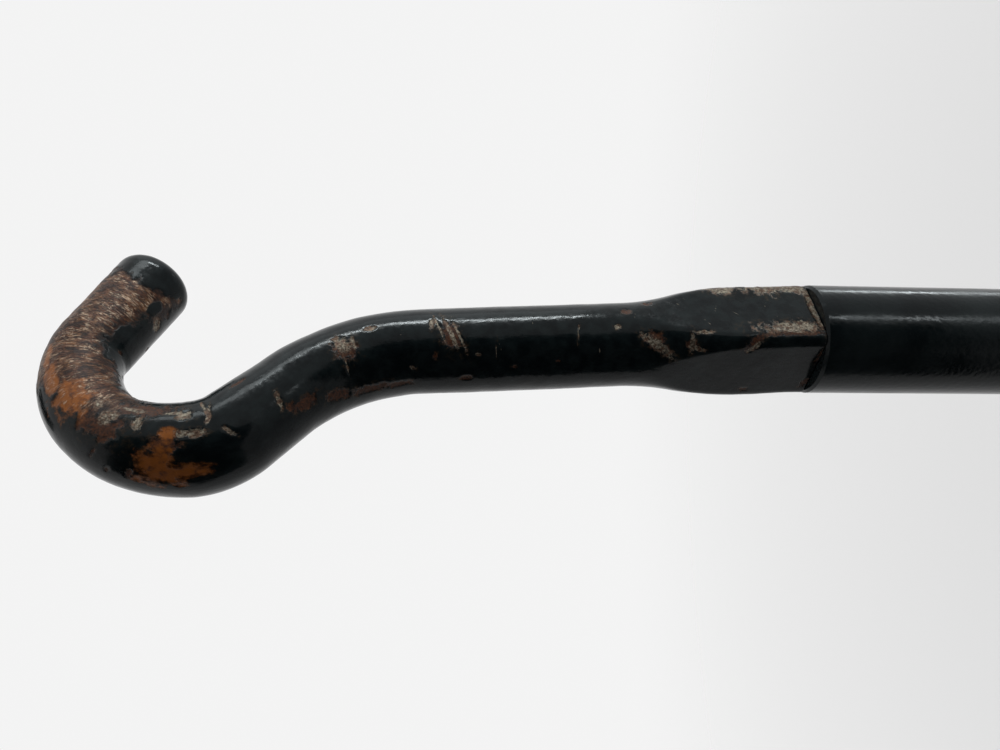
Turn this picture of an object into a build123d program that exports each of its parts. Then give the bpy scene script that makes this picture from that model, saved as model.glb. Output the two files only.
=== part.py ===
from build123d import *
import math
import os

# Cane bolt: a vertical drop bolt for a gate, with a bent handle, two guides,
# a hold-up catch and a ground socket.
# Millimetres.  Origin: centre of the upper guide's mounting face.
# +Z is up, along the bolt.  The gate is the plane Y = 0 and lies on the +Y side.

# ---- bolt ------------------------------------------------------------------
STANDOFF = 27.0          # gate face to the bolt's axis
SHANK_R = 12.7           # 1 in round shank
SHANK_BORE_R = 7.0
SEAM_Z = 108.2           # where the handle's boss meets the shank
NOSE_TIP_Z = -333.0
NOSE_LENGTH = 30.0
NOSE_END_R = 7.0
NOSE_ROUNDING = 4.0
SPIGOT_R = 6.95
HANDLE_SPIGOT = 75.0
NOSE_SPIGOT = 35.0
EDGE = 0.6               # broken edges of turned and sawn ends
SEAM_GAP = 0.15

# ---- handle, drawn in the plane X-Z through the bolt's axis ------------------
LEAN_ANGLE = 3.7         # the neck leans a little away from the crook's tip
LEAN_HEIGHT = 3.8        # where the lean starts, above the seam
NECK_LENGTH = 86.0       # from there to the first bend
NECK_BEND_R = 41.0
NECK_BEND_ANGLE = 44.9
SLANT_LENGTH = 12.7
INNER_BEND_R = 12.8      # tight start of the crook
INNER_BEND_ANGLE = 41.0
CROOK_R = 23.5
CROOK_ANGLE = 97.5
CROOK_END_R = 13.0       # the crook closes in a little before the leg
CROOK_END_ANGLE = 20.0
LEG_LENGTH = 24.7
TIP_ROUNDING = 3.2
NECK_R = 9.6             # 3/4 in bar
BEND_R = 9.1             # the bar is drawn thinner by the bending
INNER_R = 9.4
OUTER_R = 8.0
LEG_R = 8.4
TIP_R = 8.8

# ---- squared boss below the neck ---------------------------------------------
BOSS_WIDTH = 19.5        # across flats
BOSS_CORNER_R = 2.6
BOSS_HEIGHT = 19.8       # full section
BOSS_TAPER_TOP = 43.8    # corners have run out into the neck here

# ---- pins --------------------------------------------------------------------
SPRING_PIN_R = 3.0
SPRING_PIN_WALL = 0.9
SPRING_PIN_SLOT = 1.0
SPRING_PIN_LENGTH = 24.6
HANDLE_PIN_DROP = 62.0   # below the seam
NOSE_PIN_RISE = 20.0     # above the nose's shoulder
STOP_PIN_R = 2.5
STOP_PIN_LENGTH = 32.0

# ---- guides ------------------------------------------------------------------
GUIDE_PITCH = 160.0      # upper guide to lower guide
PLATE_WIDTH = 104.0
PLATE_HEIGHT = 40.0
PLATE_THICK = 5.0
PLATE_CORNER_R = 6.0
BLOCK_WIDTH = 68.0
BLOCK_HEIGHT = 34.0
BLOCK_DRAFT = 2.0        # the cast block is this much wider at its foot, each side
GATE_HOLE_DX = 86.0
GATE_HOLE_DZ = 24.0
GATE_HOLE_R = 3.4
COUNTERSINK_R = 6.4
BUSH_R = 16.0
BUSH_BORE_R = 12.75
BUSH_FLANGE_R = 19.5
BUSH_FLANGE = 2.5
CAP_THICK = 4.0
CAP_GAP = 0.1
FOOT_THICK = 4.0
CAP_FILLET = 1.5
SCREW_DX = 53.0
SCREW_DZ = 18.0
SCREW_R = 3.0
SCREW_LENGTH = 18.0
HEAD_AF = 10.0
HEAD_THICK = 4.0
WASHER_R = 5.4
WASHER_THICK = 1.6

# ---- stop collar ---------------------------------------------------------------
COLLAR_R = 20.0
COLLAR_HEIGHT = 13.0
COLLAR_RECESS_R = 16.5
COLLAR_RECESS = 7.5
LOWER_PIN_RISE = 4.8     # pin centres above the collar's lower face
UPPER_PIN_RISE = 15.6
REST_GAP = 0.05
TOP_GAP = 0.2

# ---- hold-up catch -------------------------------------------------------------
CATCH_DROP = 5.0         # from the tip at full lift down to the cradle's floor
CATCH_WIDTH = 50.0
CATCH_THICK = 4.0
CATCH_ABOVE = 50.0       # plate above the cradle's floor
CATCH_BELOW = 26.0       # plate below it
CATCH_HOLE_DX = 32.0
CATCH_HOLE_DZ = 24.0
CATCH_HOLE_RISE = 16.0   # lower pair of holes above the cradle's floor
CRADLE_WIDTH = 24.0
CRADLE_THICK = 3.0
CRADLE_FRONT = 12.5      # from the bolt's axis to the cradle's front edge
CRADLE_LIP = 3.2
CRADLE_FLANGE = 20.0
RIVET_R = 2.5
RIVET_HEAD_R = 4.2
RIVET_HEAD = 2.0
RIVET_DX = 13.0

# ---- ground socket -------------------------------------------------------------
SOCKET_DEPTH_USED = 55.0
SOCKET_LENGTH = 95.0
SOCKET_R = 17.0
SOCKET_BORE_R = 13.8
FLANGE_WIDTH = 84.0
FLANGE_THICK = 6.0
FLANGE_HOLE_D = 58.0
FLANGE_HOLE_R = 5.0
LUG_WIDTH = 20.0
LUG_REACH = 18.0
LUG_THICK = 5.0
LUG_RISE = 18.0          # above the tube's lower end

# ---- places worked out from the sizes above --------------------------------------
SHOULDER_Z = NOSE_TIP_Z + NOSE_LENGTH
BUSH_HALF = BLOCK_HEIGHT / 2 + BUSH_FLANGE
COLLAR_Z = -GUIDE_PITCH + BUSH_HALF + REST_GAP
UPPER_PIN_Z = COLLAR_Z + UPPER_PIN_RISE
LOWER_PIN_Z = COLLAR_Z + LOWER_PIN_RISE
TRAVEL = -BUSH_HALF - (UPPER_PIN_Z + STOP_PIN_R) - TOP_GAP
GROUND_Z = NOSE_TIP_Z + SOCKET_DEPTH_USED

HANDLE_PLANE = Plane(origin=(0, -STANDOFF, SEAM_Z), x_dir=(1, 0, 0), z_dir=(0, -1, 0))


def upright(radius, height, z, inner=0.0):
    """A cylinder or ring on the bolt's axis, from z upwards."""
    ring = Circle(radius) - Circle(inner) if inner else Circle(radius)
    return Pos(0, -STANDOFF, z) * extrude(ring, height)


def across(radius, length, z, x=0.0, y=-STANDOFF):
    """A cylinder along X, centred on x."""
    return Pos(x, y, z) * Rot(0, 90, 0) * Cylinder(radius, length)


def into_gate(radius, depth, x, y, z):
    """A cylinder along Y, from y towards the gate."""
    return Pos(x, y + depth / 2, z) * Rot(90, 0, 0) * Cylinder(radius, depth)


def square_places(dx, dz, z=0.0):
    """Four places at the corners of a rectangle."""
    return [(sx * dx / 2, z + sz * dz / 2) for sx in (-1, 1) for sz in (-1, 1)]


def countersunk(x, y, z, radius, head_radius, depth):
    """A through hole with a countersink at its front."""
    sink = head_radius - radius
    cone = Pos(x, y + sink / 2, z) * Rot(90, 0, 0) * Cone(radius, head_radius, sink)
    return into_gate(radius, depth + 2, x, y - 1, z) + cone


# ---- the handle ------------------------------------------------------------------

def handle_curve():
    """Centre line of the bar above the lean, in the handle's plane."""
    heading = 90 + LEAN_ANGLE
    start = (0, LEAN_HEIGHT)
    reach = Vector(start) + Vector(NECK_LENGTH, 0).rotate(Axis.Z, heading)
    neck = Line(start, reach)
    bend = JernArc(neck @ 1, neck % 1, NECK_BEND_R, NECK_BEND_ANGLE)
    slant = Line(bend @ 1, bend @ 1 + (bend % 1) * SLANT_LENGTH)
    inner = JernArc(slant @ 1, slant % 1, INNER_BEND_R, -INNER_BEND_ANGLE)
    crook = JernArc(inner @ 1, inner % 1, CROOK_R, -CROOK_ANGLE)
    closing = JernArc(crook @ 1, crook % 1, CROOK_END_R, -CROOK_END_ANGLE)
    leg = Line(closing @ 1, closing @ 1 + (closing % 1) * LEG_LENGTH)
    return [neck, bend, slant, inner, crook, closing, leg]


def bar_sections():
    """Circles along the bar: few on the neck, close together in the bends."""
    neck, bend, slant, inner, crook, closing = handle_curve()[:-1]
    runs = [
        (neck, 0.15, 1.0, 3, NECK_R, NECK_R),
        (bend, 0.17, 1.0, 6, NECK_R, BEND_R),
        (slant, 1.0, 1.0, 1, INNER_R, INNER_R),
        (inner, 0.25, 1.0, 4, INNER_R, INNER_R),
        (crook, 0.07, 0.5, 7, INNER_R, OUTER_R),
        (crook, 0.57, 1.0, 7, OUTER_R, OUTER_R),
        (closing, 0.5, 1.0, 2, OUTER_R, LEG_R),
    ]
    sections = []
    for curve, first, last, count, first_r, last_r in runs:
        for step in range(count):
            share = step / max(count - 1, 1)
            place = first + (last - first) * share
            radius = first_r + (last_r - first_r) * share
            across_bar = Plane(origin=curve @ place, x_dir=(0, 0, 1), z_dir=curve % place)
            sections.append(across_bar * Circle(radius))
    return sections


def boss():
    """Square block with rounded corners that a taper turns down into the neck."""
    block = extrude(RectangleRounded(BOSS_WIDTH, BOSS_WIDTH, BOSS_CORNER_R), BOSS_TAPER_TOP + 10)
    outline = Polyline(
        (0, -5),
        (SHANK_R, -5),
        (SHANK_R, BOSS_HEIGHT),
        (NECK_R, BOSS_TAPER_TOP),
        (NECK_R, BOSS_TAPER_TOP + 5),
        (0, BOSS_TAPER_TOP + 5),
        close=True,
    )
    envelope = revolve(Plane.XZ * make_face(outline), Axis.Z)
    shape = Pos(0, 0, -5) * block & envelope
    leaning = Pos(0, 0, LEAN_HEIGHT) * Rot(0, -LEAN_ANGLE, 0) * Pos(0, 0, -LEAN_HEIGHT) * shape
    above_seam = Pos(0, 0, 100 + SEAM_GAP) * Box(200, 200, 200)
    return Pos(0, -STANDOFF, SEAM_Z) * (leaning & above_seam)


def tip_leg():
    """The straight end of the bar, a little fuller at its sawn and rounded end."""
    line = handle_curve()[-1]
    start = Plane(origin=line @ 0, x_dir=(0, 0, 1), z_dir=line % 0)
    leg = Pos(0, 0, LEG_LENGTH / 2) * Cone(LEG_R, TIP_R, LEG_LENGTH)
    leg = fillet(leg.faces().sort_by(Axis.Z)[-1].edges(), TIP_ROUNDING)
    return start * leg


def hook_handle():
    bar = HANDLE_PLANE * (loft(bar_sections(), ruled=True) + tip_leg())
    spigot = upright(SPIGOT_R, HANDLE_SPIGOT + 5, SEAM_Z - HANDLE_SPIGOT)
    pin_hole = across(SPRING_PIN_R, 40, SEAM_Z - HANDLE_PIN_DROP)
    return bar + boss() + spigot - pin_hole


# ---- the rest of the bolt -----------------------------------------------------------

def bolt_shank():
    tube = upright(SHANK_R, SEAM_Z - SHOULDER_Z, SHOULDER_Z, SHANK_BORE_R)
    rims = tube.edges().filter_by(GeomType.CIRCLE).filter_by(lambda e: e.radius > SHANK_R - 0.1)
    tube = chamfer(rims, EDGE)
    for z in (SEAM_Z - HANDLE_PIN_DROP, SHOULDER_Z + NOSE_PIN_RISE):
        tube -= across(SPRING_PIN_R, 40, z)
    for z in (UPPER_PIN_Z, LOWER_PIN_Z):
        tube -= across(STOP_PIN_R, 40, z)
    return tube


def shank_nose():
    outline = Polyline(
        (0, NOSE_TIP_Z),
        (NOSE_END_R, NOSE_TIP_Z),
        (SHANK_R, SHOULDER_Z - EDGE),
        (SHANK_R - EDGE, SHOULDER_Z),
        (SPIGOT_R, SHOULDER_Z),
        (SPIGOT_R, SHOULDER_Z + NOSE_SPIGOT),
        (0, SHOULDER_Z + NOSE_SPIGOT),
        close=True,
    )
    nose = Pos(0, -STANDOFF, 0) * revolve(Plane.XZ * make_face(outline), Axis.Z)
    tip = nose.faces().sort_by(Axis.Z)[0]
    nose = fillet(tip.edges(), NOSE_ROUNDING)
    return nose - across(SPRING_PIN_R, 40, SHOULDER_Z + NOSE_PIN_RISE)


def spring_pin(z):
    """A rolled pin with its slot facing down."""
    pin = across(SPRING_PIN_R, SPRING_PIN_LENGTH, z)
    pin -= across(SPRING_PIN_R - SPRING_PIN_WALL, SPRING_PIN_LENGTH + 2, z)
    slot = Box(SPRING_PIN_LENGTH + 2, SPRING_PIN_SLOT, SPRING_PIN_R)
    return pin - Pos(0, -STANDOFF, z - SPRING_PIN_R / 2) * slot


def stop_pin(z):
    pin = across(STOP_PIN_R, STOP_PIN_LENGTH, z)
    return chamfer(pin.edges().filter_by(GeomType.CIRCLE), EDGE)


def stop_collar():
    collar = upright(COLLAR_R, COLLAR_HEIGHT, COLLAR_Z, BUSH_BORE_R)
    rims = collar.edges().filter_by(GeomType.CIRCLE).filter_by(lambda e: e.radius > BUSH_R)
    collar = chamfer(rims, 1.0)
    return collar - upright(COLLAR_RECESS_R, COLLAR_RECESS + 1, COLLAR_Z - 1)


# ---- guides ---------------------------------------------------------------------------

def guide_base(z):
    plate = extrude(RectangleRounded(PLATE_WIDTH, PLATE_HEIGHT, PLATE_CORNER_R), PLATE_THICK)
    foot = Rectangle(BLOCK_WIDTH + 2 * BLOCK_DRAFT, BLOCK_HEIGHT)
    top = Pos(0, 0, STANDOFF - PLATE_THICK) * Rectangle(BLOCK_WIDTH, BLOCK_HEIGHT)
    block = Pos(0, 0, PLATE_THICK) * loft([foot, top])
    base = Rot(90, 0, 0) * (plate + block)
    base -= upright(BUSH_R + CAP_GAP, 100, -50)
    for x, hole_z in square_places(GATE_HOLE_DX, GATE_HOLE_DZ):
        base -= countersunk(x, -PLATE_THICK, hole_z, GATE_HOLE_R, COUNTERSINK_R, PLATE_THICK)
    for x, hole_z in square_places(SCREW_DX, SCREW_DZ):
        base -= into_gate(SCREW_R, SCREW_LENGTH - FOOT_THICK, x, -STANDOFF, hole_z)
    return Pos(0, 0, z) * base


def guide_cap(z):
    """A strap pressed over the bush, with a foot on each side."""
    inner = BUSH_R + CAP_GAP
    outer = inner + CAP_THICK
    feet = Pos(0, FOOT_THICK / 2) * Rectangle(BLOCK_WIDTH, FOOT_THICK)
    front_half = Pos(0, outer) * Rectangle(4 * outer, 2 * outer)
    outline = (feet + Circle(outer)) - Circle(inner)
    outline = outline & front_half
    strap = extrude(outline, BLOCK_HEIGHT / 2, both=True)
    corners = strap.edges().filter_by(Axis.Z).filter_by(
        lambda e: abs(e.center().Y - FOOT_THICK) < 0.1 and abs(e.center().X) < BLOCK_WIDTH / 2 - 1
    )
    strap = fillet(corners, CAP_FILLET)
    strap = Pos(0, -STANDOFF, 0) * Rot(0, 0, 180) * strap
    for x, hole_z in square_places(SCREW_DX, SCREW_DZ):
        strap -= into_gate(SCREW_R + 0.3, FOOT_THICK + 2, x, -STANDOFF - FOOT_THICK - 1, hole_z)
    return Pos(0, 0, z) * strap


def guide_bush(z):
    bush = upright(BUSH_R, 2 * BUSH_HALF, z - BUSH_HALF)
    for flange_z in (z - BUSH_HALF, z + BUSH_HALF - BUSH_FLANGE):
        bush += upright(BUSH_FLANGE_R, BUSH_FLANGE, flange_z)
    rims = bush.edges().filter_by(GeomType.CIRCLE).filter_by(lambda e: e.radius > BUSH_R + 1)
    bush = chamfer(rims, 0.4)
    return bush - upright(BUSH_BORE_R, 100, z - 50)


def guide_screws(z):
    """Four hexagon-head screws that hold the cap down."""
    head_y = -STANDOFF - FOOT_THICK - WASHER_THICK
    head = extrude(RegularPolygon(HEAD_AF / 2, 6, major_radius=False), HEAD_THICK)
    crown = Cone(HEAD_AF, HEAD_AF / 2 - 0.2, HEAD_THICK + 1.2, align=(Align.CENTER, Align.CENTER, Align.MIN))
    shaped = head & crown
    shaft = Pos(0, 0, -SCREW_LENGTH / 2) * Cylinder(SCREW_R - 0.1, SCREW_LENGTH)
    screw = Rot(90, 0, 0) * (shaped + shaft)
    places = square_places(SCREW_DX, SCREW_DZ, z)
    return Compound([Pos(x, head_y, screw_z) * screw for x, screw_z in places])


def guide_washers(z):
    """Four spring washers, each split on a slant."""
    ring = extrude(Circle(WASHER_R) - Circle(SCREW_R + 0.3), WASHER_THICK - 0.1)
    split = Pos(WASHER_R / 2 + 1.5, 0, 0) * Rot(20, 0, 0) * Box(WASHER_R, 0.8, 4 * WASHER_THICK)
    washer = Rot(90, 0, 0) * (ring - split)
    places = square_places(SCREW_DX, SCREW_DZ, z)
    return Compound([Pos(x, -STANDOFF - FOOT_THICK - 0.05, ring_z) * washer for x, ring_z in places])


# ---- hold-up catch ------------------------------------------------------------------------

def tip_underside():
    """Height of the lowest point of the tip's rounded end, with the bolt down."""
    leg = handle_curve()[-1]
    heading = leg % 1
    back = leg @ 1 - heading * TIP_ROUNDING
    drop = (TIP_R - TIP_ROUNDING) * abs(heading.X) + TIP_ROUNDING
    return SEAM_Z + back.Y - drop


CRADLE_Z = tip_underside() + TRAVEL - CATCH_DROP


def rivet_places():
    z = CRADLE_Z - CRADLE_THICK - CRADLE_FLANGE / 2
    return [(side * RIVET_DX / 2, z) for side in (-1, 1)]


def catch_plate():
    height = CATCH_ABOVE + CATCH_BELOW
    sheet = extrude(RectangleRounded(CATCH_WIDTH, height, 5), CATCH_THICK)
    middle = CRADLE_Z + (CATCH_ABOVE - CATCH_BELOW) / 2
    plate = Pos(0, 0, middle) * Rot(90, 0, 0) * sheet
    holes_z = CRADLE_Z + CATCH_HOLE_RISE + CATCH_HOLE_DZ / 2
    for x, z in square_places(CATCH_HOLE_DX, CATCH_HOLE_DZ, holes_z):
        plate -= countersunk(x, -CATCH_THICK, z, GATE_HOLE_R, COUNTERSINK_R, CATCH_THICK)
    for x, z in rivet_places():
        plate -= into_gate(RIVET_R, CATCH_THICK + 2, x, -CATCH_THICK - 1, z)
    return plate


def catch_cradle():
    """A ledge with a low lip at each side and a flange that hangs down its back."""
    front = -STANDOFF + CRADLE_FRONT
    depth = -CATCH_THICK - front
    width = CRADLE_WIDTH + 2 * CRADLE_THICK
    mid_y = (front - CATCH_THICK) / 2
    tray = Pos(0, mid_y, CRADLE_Z + (CRADLE_LIP - CRADLE_THICK) / 2)
    tray *= Box(width, depth, CRADLE_THICK + CRADLE_LIP)
    hollow = Pos(0, mid_y, CRADLE_Z + 10) * Box(CRADLE_WIDTH, depth + 10, 20)
    flange_height = CRADLE_FLANGE + CRADLE_THICK
    back = Pos(0, -CATCH_THICK - CRADLE_THICK / 2, CRADLE_Z - flange_height / 2)
    back *= Box(CRADLE_WIDTH, CRADLE_THICK, flange_height)
    cradle = tray - hollow + back
    bend = cradle.edges().filter_by(Axis.Y).sort_by(Axis.Z)
    bend = bend.filter_by(lambda e: abs(e.center().Z - CRADLE_Z + CRADLE_THICK) < 0.1)
    bend = bend.filter_by(lambda e: abs(e.center().X) > CRADLE_WIDTH / 2 + 1)
    cradle = fillet(bend, 2.0)
    for x, z in rivet_places():
        cradle -= into_gate(RIVET_R, CRADLE_THICK + 2, x, -CATCH_THICK - CRADLE_THICK - 1, z)
    return cradle


def catch_rivets():
    """Domed rivets, closed flush with the back of the plate."""
    front = -CATCH_THICK - CRADLE_THICK
    ball_r = (RIVET_HEAD_R ** 2 + RIVET_HEAD ** 2) / (2 * RIVET_HEAD)
    rivets = []
    for x, z in rivet_places():
        ball = Pos(x, front - RIVET_HEAD + ball_r, z) * Sphere(ball_r)
        dome = ball & into_gate(RIVET_HEAD_R + 1, RIVET_HEAD + 1, x, front - RIVET_HEAD - 1, z)
        stem = into_gate(RIVET_R - 0.05, CATCH_THICK + CRADLE_THICK, x, front, z)
        rivets.append(dome + stem)
    return Compound(rivets)


# ---- ground socket ----------------------------------------------------------------------------

def socket_tube():
    tube = upright(SOCKET_R, SOCKET_LENGTH, GROUND_Z - SOCKET_LENGTH, SOCKET_BORE_R)
    mouth = tube.faces().sort_by(Axis.Z)[-1].edges().sort_by(SortBy.RADIUS)[0]
    return chamfer(mouth, 1.5)


def socket_flange():
    sheet = extrude(RectangleRounded(FLANGE_WIDTH, FLANGE_WIDTH, 8), FLANGE_THICK)
    flange = Pos(0, -STANDOFF, GROUND_Z - FLANGE_THICK) * sheet
    flange = chamfer(flange.faces().sort_by(Axis.Z)[-1].edges(), 1.0)
    flange -= upright(SOCKET_R + 0.05, 20, GROUND_Z - 10)
    half = FLANGE_HOLE_D / 2
    for x in (-half, half):
        for y in (-half, half):
            flange -= Pos(x, -STANDOFF + y, GROUND_Z) * Cylinder(FLANGE_HOLE_R, 4 * FLANGE_THICK)
    return flange


def socket_lugs():
    """Two flat lugs on the tube that key it into the concrete."""
    z = GROUND_Z - SOCKET_LENGTH + LUG_RISE
    lug = Box(LUG_REACH, LUG_WIDTH, LUG_THICK)
    middle = SOCKET_R + LUG_REACH / 2 - 1
    pair = [Pos(side * middle, -STANDOFF, z) * lug for side in (-1, 1)]
    tube_space = upright(SOCKET_R + 0.05, 40, z - 20)
    return Compound([piece - tube_space for piece in pair])


parts = {
    "hook_handle": hook_handle(),
    "bolt_shank": bolt_shank(),
    "shank_nose": shank_nose(),
    "handle_spring_pin": spring_pin(SEAM_Z - HANDLE_PIN_DROP),
    "nose_spring_pin": spring_pin(SHOULDER_Z + NOSE_PIN_RISE),
    "upper_stop_pin": stop_pin(UPPER_PIN_Z),
    "lower_stop_pin": stop_pin(LOWER_PIN_Z),
    "stop_collar": stop_collar(),
    "catch_plate": catch_plate(),
    "catch_cradle": catch_cradle(),
    "catch_rivets": catch_rivets(),
    "socket_tube": socket_tube(),
    "socket_flange": socket_flange(),
    "socket_lugs": socket_lugs(),
}

for name, height in (("upper", 0.0), ("lower", -GUIDE_PITCH)):
    parts[name + "_guide_base"] = guide_base(height)
    parts[name + "_guide_cap"] = guide_cap(height)
    parts[name + "_guide_bush"] = guide_bush(height)
    parts[name + "_guide_screws"] = guide_screws(height)
    parts[name + "_guide_washers"] = guide_washers(height)

os.makedirs("parts", exist_ok=True)
for node, shape in parts.items():
    export_step(shape, f"parts/{node}.step")

print("travel", round(TRAVEL, 3), "cradle floor", round(CRADLE_Z, 3), "ground", GROUND_Z)
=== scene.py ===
"""A worn cane bolt: the CAD frame with a forged, chipped and rusted handle and procedural finishes."""
import math

import bpy
import numpy as np
from mathutils import Matrix, Vector


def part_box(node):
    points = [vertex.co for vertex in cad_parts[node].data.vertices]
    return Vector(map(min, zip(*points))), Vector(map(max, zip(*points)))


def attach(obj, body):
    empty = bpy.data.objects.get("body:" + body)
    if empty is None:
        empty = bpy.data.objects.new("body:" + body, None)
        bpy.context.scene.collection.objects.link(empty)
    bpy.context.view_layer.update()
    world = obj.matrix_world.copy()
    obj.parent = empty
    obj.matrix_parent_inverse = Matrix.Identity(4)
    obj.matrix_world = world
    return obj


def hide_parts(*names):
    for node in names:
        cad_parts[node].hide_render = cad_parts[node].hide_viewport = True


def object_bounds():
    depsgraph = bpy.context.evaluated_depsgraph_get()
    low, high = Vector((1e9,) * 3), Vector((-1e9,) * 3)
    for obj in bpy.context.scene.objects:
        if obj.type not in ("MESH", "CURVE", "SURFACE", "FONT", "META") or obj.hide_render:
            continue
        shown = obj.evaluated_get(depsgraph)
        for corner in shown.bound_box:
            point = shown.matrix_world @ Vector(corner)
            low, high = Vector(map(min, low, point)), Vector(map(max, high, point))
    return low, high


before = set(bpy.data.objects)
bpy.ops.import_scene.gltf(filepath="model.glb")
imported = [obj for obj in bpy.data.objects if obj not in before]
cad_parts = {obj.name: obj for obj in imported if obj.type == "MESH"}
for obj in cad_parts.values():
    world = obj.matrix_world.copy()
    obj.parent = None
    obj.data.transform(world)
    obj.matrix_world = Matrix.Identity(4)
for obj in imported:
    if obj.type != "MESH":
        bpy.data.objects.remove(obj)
cad_low, cad_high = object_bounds()

MM = 0.001

# ---- places read from the frame ------------------------------------------------
shank_low, shank_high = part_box("bolt_shank")
AXIS_X = (shank_low.x + shank_high.x) / 2
AXIS_Y = (shank_low.y + shank_high.y) / 2
SEAM_Z = shank_high.z
SHANK_R = (shank_high.x - shank_low.x) / 2 / MM

# ---- handle, in millimetres along the bar from the seam --------------------------
# Each run is (radius, turn in degrees); a straight has radius 0 and its length instead.
HANDLE_RUNS = [
    (118.0, 3.7),
    (0, 82.19),
    (41.0, 44.9),
    (0, 12.7),
    (12.8, -41.0),
    (23.5, -97.5),
    (13.0, -20.0),
    (0, 24.7),
]
BAR_PLACES = [0, 60, 90, 122, 134.6, 143.8, 163.8, 183.8, 188.3, 213, 230]
BAR_RADII = [9.6, 9.6, 9.45, 9.05, 9.4, 9.4, 8.1, 8.0, 8.35, 8.8, 8.8]
BOSS_HALF = 9.75
BOSS_CORNER = 2.6
BOSS_FULL = 19.8
BOSS_TOP = 43.8
TIP_ROUNDING = 4.0
END_EDGE = 0.35
SEAM_CRACK = 0.06
PAINT_DEPTH = 0.13
PIT_DEPTH = 0.05
LUMP_SIZE, LUMP_HEIGHT = 13.0, 0.13           # the hammered waviness of the forging
RIPPLE_SIZE, RIPPLE_HEIGHT = 3.2, 0.03
RINGS = 600
END_RINGS = 8            # extra rings round each end's rounding
SPOKES = 160

# ---- wear: (along, angle, half length, half width, turn) in mm and degrees --------
# The angle runs round the bar from its front, towards the crook's tip side.
STEEL_PATCHES = [
    (7.3, 40, 8.6, 2.4, 0), (20.8, 38, 4.2, 1.4, 0), (7.2, -31, 8.2, 1.7, 0),
    (0.9, 4, 0.8, 7.2, 0), (38.5, -47, 4.4, 1.1, 42), (31.1, -43, 0.6, 2.2, 5),
    (28.4, -34, 1.9, 0.5, 0), (30.0, -52, 2.0, 0.5, 20), (17.2, -52, 2.2, 0.7, -35),
    (108.0, -12, 1.7, 2.4, -14), (105.7, -16, 0.5, 1.9, 8), (100.9, -2, 1.4, 0.6, 0),
    (109.2, -42, 0.25, 2.4, 6), (87.8, -6, 0.7, 1.7, 12), (86.1, -14, 0.35, 4.4, -18),
    (84.0, -18, 0.55, 4.8, -20), (82.0, -24, 0.35, 4.2, -20), (56.0, -26, 0.22, 2.0, 8),
    (47.1, -20, 0.9, 0.7, 0), (74.2, -46, 0.15, 2.0, 4), (78.3, -50, 0.7, 0.4, 0),
    (139.0, -2, 0.45, 2.6, 22), (127.3, -38, 0.5, 2.3, 19), (137.4, -34, 0.35, 1.6, -22),
    (143.2, 4, 1.6, 1.3, 0), (142.6, -21, 2.2, 1.0, 8), (151.6, -8, 1.0, 1.6, -20),
    (157.8, -8, 1.9, 1.7, 0), (139.4, 12, 0.5, 1.8, 0), (92.6, -66, 1.0, 0.5, 20),
    (161.5, 2, 1.6, 1.0, 30), (145.6, 10, 2.2, 0.5, 0), (153.6, 13, 2.8, 0.6, 0),
]
RUST_PATCHES = [
    (147.1, -62, 2.8, 3.8, 0), (144.2, -66, 2.6, 1.3, 0), (146.0, -18, 1.3, 1.1, 0),
    (167.3, -17, 3.7, 3.2, 0), (173.5, -30, 3.6, 1.5, 0), (179.5, -36, 3.0, 0.9, 0),
    (157.5, -26, 4.4, 2.6, -12), (152.5, 16, 6.5, 1.7, 0), (122.4, -58, 3.2, 1.2, 0),
    (113.0, -76, 4.6, 1.3, 12), (104.6, -84, 5.4, 1.1, 0), (130.0, 20, 2.0, 0.5, 0),
    (108.1, -22, 2.4, 2.8, -10), (84.0, -22, 2.3, 3.4, -12), (80.8, -84, 1.3, 0.6, 0),
    (87.4, -51, 0.6, 0.7, 0), (70.2, -69, 0.8, 0.4, 0), (60.7, -63, 0.6, 0.4, 0),
    (38.5, 22, 1.6, 0.8, 10), (39.2, -40, 2.2, 1.6, 40), (1.0, -115, 1.0, 1.5, 30),
    (0.6, -66, 0.5, 1.9, 8), (15.9, -122, 1.2, 0.6, 0), (17.4, -47, 2.6, 0.9, -30),
    (7.2, -39, 8.4, 0.6, 0), (0.5, -28, 1.2, 1.6, 0), (151.5, -70, 0.4, 1.2, 24),
    (155.0, -75, 0.35, 1.1, 24), (157.4, -57, 0.35, 1.3, 24), (44.4, 6, 1.1, 0.8, 0),
    (20.8, 41, 4.8, 0.8, 0), (31.4, -46, 1.1, 1.0, 0), (126.0, -52, 1.2, 1.2, 0),
    (97.0, -88, 4.5, 0.8, 0), (146.5, -36, 2.4, 2.2, 0),
]
LIGHT_SCRATCHES = [
    (32, 15, 0.10, 1.3, -32), (26.8, -20, 0.10, 1.5, -30), (23.8, 4, 0.08, 2.0, 24),
    (18.8, -10, 0.08, 2.4, -40), (11.8, 8, 0.08, 1.8, 30), (65.8, -8, 0.08, 1.6, 12),
    (73.3, -44, 0.08, 2.0, -16), (51.6, -51, 0.10, 1.0, 6), (94.8, -20, 0.08, 2.2, 20),
    (29.8, 22, 0.10, 1.0, -50), (42.8, -4, 0.10, 1.6, 20), (9.8, -12, 0.07, 2.2, 58),
]
PAINT_LEFT = [(191.0, 62, 2.7, 2.4, 0), (200.5, 66, 1.6, 1.4, 0), (183.5, 76, 5.0, 2.6, 0)]
HIDDEN_CHIPS = 70
WORN_LEG = (155.5, 205.2)
WORN_OUTER_EDGE = [(157, -36), (166, -40), (173, -52), (182, -98)]     # (along, angle)
WORN_INNER_EDGE = [(157, 64), (176, 74), (184, 50), (193, 56), (201, 84)]
SEED = 7
ORANGE_COUNT = 6         # the first of the rust patches are the bright orange ones
PATCH_SQUARENESS = 2.4   # 2 makes a patch an ellipse, and more squares it off
PATCH_REACH = 16         # mm: no patch counts further than this from its middle
FAR_OUTSIDE = -9.0


# ---- smooth value noise on arrays, the same on every run ----------------------------

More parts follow.
